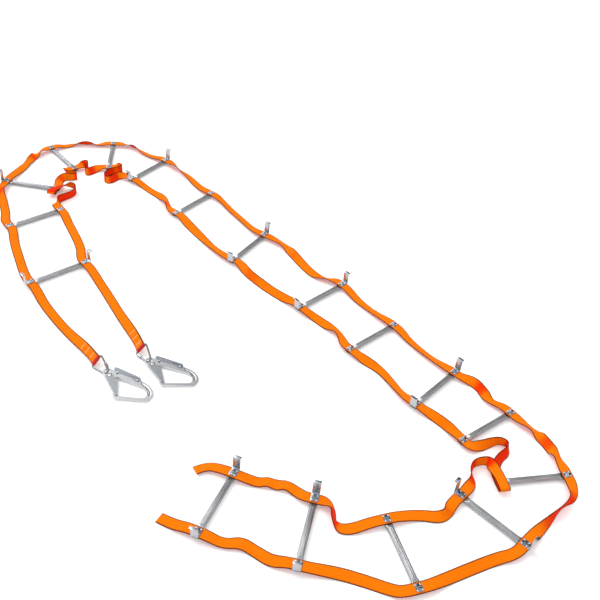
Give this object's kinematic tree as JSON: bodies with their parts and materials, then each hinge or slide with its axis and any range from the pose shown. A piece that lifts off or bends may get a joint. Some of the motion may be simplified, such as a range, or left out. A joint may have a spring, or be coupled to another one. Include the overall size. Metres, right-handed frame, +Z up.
{
  "type": "escape rope ladder",
  "caption": "Flexible escape ladder of aluminium rungs riveted between two orange webbing straps, with stand-off brackets and two snap hooks on screw links, laid out in a curve.",
  "frame": {"origin": "on the floor under the middle of the laid-out ladder", "axes": "+Z up, the ladder lies in a hairpin curve on the XY plane with the hooks towards -Y"},
  "size_m": [2.8451, 2.8199, 0.0791],
  "materials": {
    "orange_webbing": "woven, satin",
    "rung_aluminium": "extruded, fluted, satin",
    "clamp_steel": "bright zinc",
    "rivet_steel": "polished",
    "bracket_steel": "zinc plated",
    "link_steel": "bright zinc",
    "hook_steel": "forged, zinc plated",
    "gate_steel": "dark zinc",
    "lever_steel": "blue zinc",
    "spring_steel": "drawn wire"
  },
  "bodies": {
    "ladder": {"rung_04": "rung_aluminium", "rung_05": "rung_aluminium", "rung_06": "rung_aluminium", "rung_07": "rung_aluminium", "rung_08": "rung_aluminium", "rung_09": "rung_aluminium", "rung_10": "rung_aluminium", "rung_11": "rung_aluminium", "rung_12": "rung_aluminium", "rung_13": "rung_aluminium", "rung_14": "rung_aluminium", "rung_15": "rung_aluminium", "strap_main_a": "orange_webbing", "strap_main_b": "orange_webbing", "strap_high_a": "orange_webbing", "strap_high_b": "orange_webbing", "clamps_main": "clamp_steel", "rivets_main": "rivet_steel", "brackets_main": "bracket_steel"},
    "third_rung": {"rung_03": "rung_aluminium", "strap_third_a": "orange_webbing", "strap_third_b": "orange_webbing", "clamps_third": "clamp_steel", "rivets_third": "rivet_steel"},
    "free_end": {"rung_01": "rung_aluminium", "rung_02": "rung_aluminium", "strap_tail_a": "orange_webbing", "strap_tail_b": "orange_webbing", "clamps_tail": "clamp_steel", "rivets_tail": "rivet_steel", "brackets_tail": "bracket_steel"},
    "hook_end": {"rung_16": "rung_aluminium", "rung_17": "rung_aluminium", "strap_head_a": "orange_webbing", "strap_head_b": "orange_webbing", "clamps_head": "clamp_steel", "rivets_head": "rivet_steel", "brackets_head": "bracket_steel"},
    "leg_a": {"strap_leg_a": "orange_webbing"},
    "delta_link_a": {"link_a": "link_steel"},
    "link_nut_a": {"sleeve_a": "link_steel"},
    "snap_hook_a": {"hook_body_a": "hook_steel", "hook_rivets_a": "rivet_steel"},
    "hook_gate_a": {"gate_a": "gate_steel", "gate_spring_a": "spring_steel"},
    "hook_lever_a": {"lever_a": "lever_steel", "lever_spring_a": "spring_steel", "lever_pin_a": "rivet_steel"},
    "leg_b": {"strap_leg_b": "orange_webbing"},
    "delta_link_b": {"link_b": "link_steel"},
    "link_nut_b": {"sleeve_b": "link_steel"},
    "snap_hook_b": {"hook_body_b": "hook_steel", "hook_rivets_b": "rivet_steel"},
    "hook_gate_b": {"gate_b": "gate_steel", "gate_spring_b": "spring_steel"},
    "hook_lever_b": {"lever_b": "lever_steel", "lever_spring_b": "spring_steel", "lever_pin_b": "rivet_steel"}
  },
  "joints": [
    {"name": "fold_at_rung_four", "type": "hinge", "parent": "ladder", "child": "third_rung", "pos_m": [1.06025, -1.07111, 0.02107], "axis": [-0.7547, 0.6561, 0], "range_deg": [0, 90]},
    {"name": "fold_at_rung_three", "type": "hinge", "parent": "third_rung", "child": "free_end", "pos_m": [0.71867, -1.2418, 0.02107], "axis": [-0.3665, 0.9304, 0], "range_deg": [0, 90]},
    {"name": "fold_at_rung_sixteen", "type": "hinge", "parent": "ladder", "child": "hook_end", "pos_m": [-1.13067, 0.54426, 0.02107], "axis": [-0.7193, -0.6947, 0], "range_deg": [0, 90]},
    {"name": "fold_leg_a", "type": "hinge", "parent": "hook_end", "child": "leg_a", "pos_m": [-0.84733, 0.07974, 0.02107], "axis": [-0.7193, -0.6947, 0], "range_deg": [0, 90]},
    {"name": "link_swing_a", "type": "hinge", "parent": "leg_a", "child": "delta_link_a", "pos_m": [-0.526, -0.474, 0.027], "axis": [-0.5257, -0.4657, -0.7119], "range_deg": [0, 90]},
    {"name": "sleeve_travel_a", "type": "slide", "parent": "delta_link_a", "child": "link_nut_a", "axis": [-0.5908, 0.7371, 0.328], "range_m": [0, 0.008]},
    {"name": "hook_swivel_a", "type": "hinge", "parent": "delta_link_a", "child": "snap_hook_a", "pos_m": [-0.46535, -0.52489, 0.0155], "axis": [0.0459, -0.0209, 0.9987], "range_deg": [-25, 12]},
    {"name": "gate_opening_a", "type": "hinge", "parent": "snap_hook_a", "child": "hook_gate_a", "pos_m": [-0.4513, -0.54262, 0.01448], "axis": [0.0459, -0.0209, 0.9987], "range_deg": [0, 30], "stiffness_Nm_per_rad": 0.4, "springref_deg": -20.05},
    {"name": "lever_press_a", "type": "hinge", "parent": "snap_hook_a", "child": "hook_lever_a", "pos_m": [-0.33564, -0.54851, 0.00904], "axis": [0.0459, -0.0209, 0.9987], "range_deg": [0, 5], "stiffness_Nm_per_rad": 0.6, "springref_deg": -17.19},
    {"name": "fold_leg_b", "type": "hinge", "parent": "hook_end", "child": "leg_b", "pos_m": [-0.84733, 0.07974, 0.02107], "axis": [-0.7193, -0.6947, 0], "range_deg": [0, 90]},
    {"name": "link_swing_b", "type": "hinge", "parent": "leg_b", "child": "delta_link_b", "pos_m": [-0.36, -0.374, 0.03], "axis": [-0.6159, -0.3466, -0.7074], "range_deg": [0, 90]},
    {"name": "sleeve_travel_b", "type": "slide", "parent": "delta_link_b", "child": "link_nut_b", "axis": [0.7733, -0.6339, 0.0136], "range_m": [0, 0.008]},
    {"name": "hook_swivel_b", "type": "hinge", "parent": "delta_link_b", "child": "snap_hook_b", "pos_m": [-0.30943, -0.43427, 0.0155], "axis": [0.0481, -0.0152, 0.9987], "range_deg": [-12, 25]},
    {"name": "gate_opening_b", "type": "hinge", "parent": "snap_hook_b", "child": "hook_gate_b", "pos_m": [-0.29332, -0.45016, 0.01448], "axis": [0.0481, -0.0152, 0.9987], "range_deg": [0, 30], "stiffness_Nm_per_rad": 0.4, "springref_deg": -20.05},
    {"name": "lever_press_b", "type": "hinge", "parent": "snap_hook_b", "child": "hook_lever_b", "pos_m": [-0.1778, -0.44191, 0.00904], "axis": [0.0481, -0.0152, 0.9987], "range_deg": [0, 5], "stiffness_Nm_per_rad": 0.6, "springref_deg": -17.19}
  ]
}
